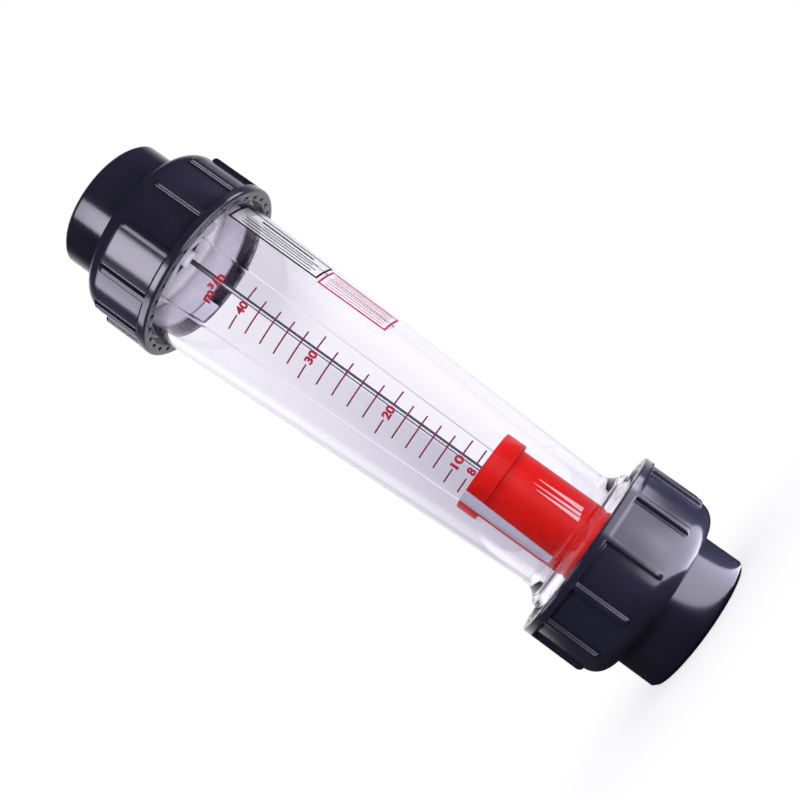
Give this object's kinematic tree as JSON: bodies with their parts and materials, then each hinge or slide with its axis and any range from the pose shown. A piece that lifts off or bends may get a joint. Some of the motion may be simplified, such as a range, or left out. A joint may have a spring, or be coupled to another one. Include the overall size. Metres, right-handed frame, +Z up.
{
  "type": "rotameter",
  "caption": "Upright clear-tube flow meter: a float on a guide rod in a tapered tube, with a union nut and a pipe socket at each end.",
  "frame": {"origin": "centre of the lower pipe socket's end face, on the surface the meter stands on", "axes": "+Z up the tube, the way the water flows; -Y towards the side with the scale"},
  "size_m": [0.13, 0.13, 0.462],
  "materials": {
    "dark_pvc": "moulded, semi-gloss",
    "clear_tube": "clear moulded acrylic",
    "stop_white": "moulded",
    "bumper_silicone": "matte",
    "seal_rubber": "matte",
    "rod_steel": "ground",
    "float_red": "moulded, gloss",
    "weight_steel": "turned",
    "bush_white": "turned"
  },
  "bodies": {
    "inlet_end": {"lower_pipe_socket": "dark_pvc", "lower_o_ring": "seal_rubber"},
    "lower_nut": {"lower_union_nut": "dark_pvc"},
    "tube_assembly": {"measuring_tube": "clear_tube", "lower_rod_bracket": "stop_white", "upper_rod_bracket": "stop_white", "guide_rod": "rod_steel", "lower_rod_washer": "rod_steel", "upper_rod_washer": "rod_steel", "lower_rod_nut": "rod_steel", "upper_rod_nut": "rod_steel", "lower_stop_bumper": "bumper_silicone", "upper_stop_bumper": "bumper_silicone"},
    "float": {"float_body": "float_red", "float_base_plug": "float_red", "float_weight": "weight_steel", "float_lower_bush": "bush_white", "float_upper_bush": "bush_white"},
    "outlet_end": {"upper_pipe_socket": "dark_pvc", "upper_o_ring": "seal_rubber"},
    "upper_nut": {"upper_union_nut": "dark_pvc"}
  },
  "joints": [
    {"name": "lower_nut_turn", "type": "hinge", "parent": "inlet_end", "child": "lower_nut", "pos_m": [0, 0, 0.0558], "axis": [0, 0, -1], "range_deg": [0, 2040]},
    {"name": "lower_union_lift", "type": "slide", "parent": "inlet_end", "child": "tube_assembly", "axis": [0, 0, 1], "range_m": [0, 0.034]},
    {"name": "float_slide", "type": "slide", "parent": "tube_assembly", "child": "float", "axis": [0, 0, 1], "range_m": [0, 0.2332]},
    {"name": "upper_union_lift", "type": "slide", "parent": "tube_assembly", "child": "outlet_end", "axis": [0, 0, 1], "range_m": [0, 0.034]},
    {"name": "upper_nut_turn", "type": "hinge", "parent": "outlet_end", "child": "upper_nut", "pos_m": [0, 0, 0.4062], "axis": [0, 0, 1], "range_deg": [0, 2040]}
  ],
  "couplings": [
    {"joint": "lower_union_lift", "follows": "lower_nut_turn", "m_per_rad": 0.00095493},
    {"joint": "upper_union_lift", "follows": "upper_nut_turn", "m_per_rad": 0.00095493}
  ]
}
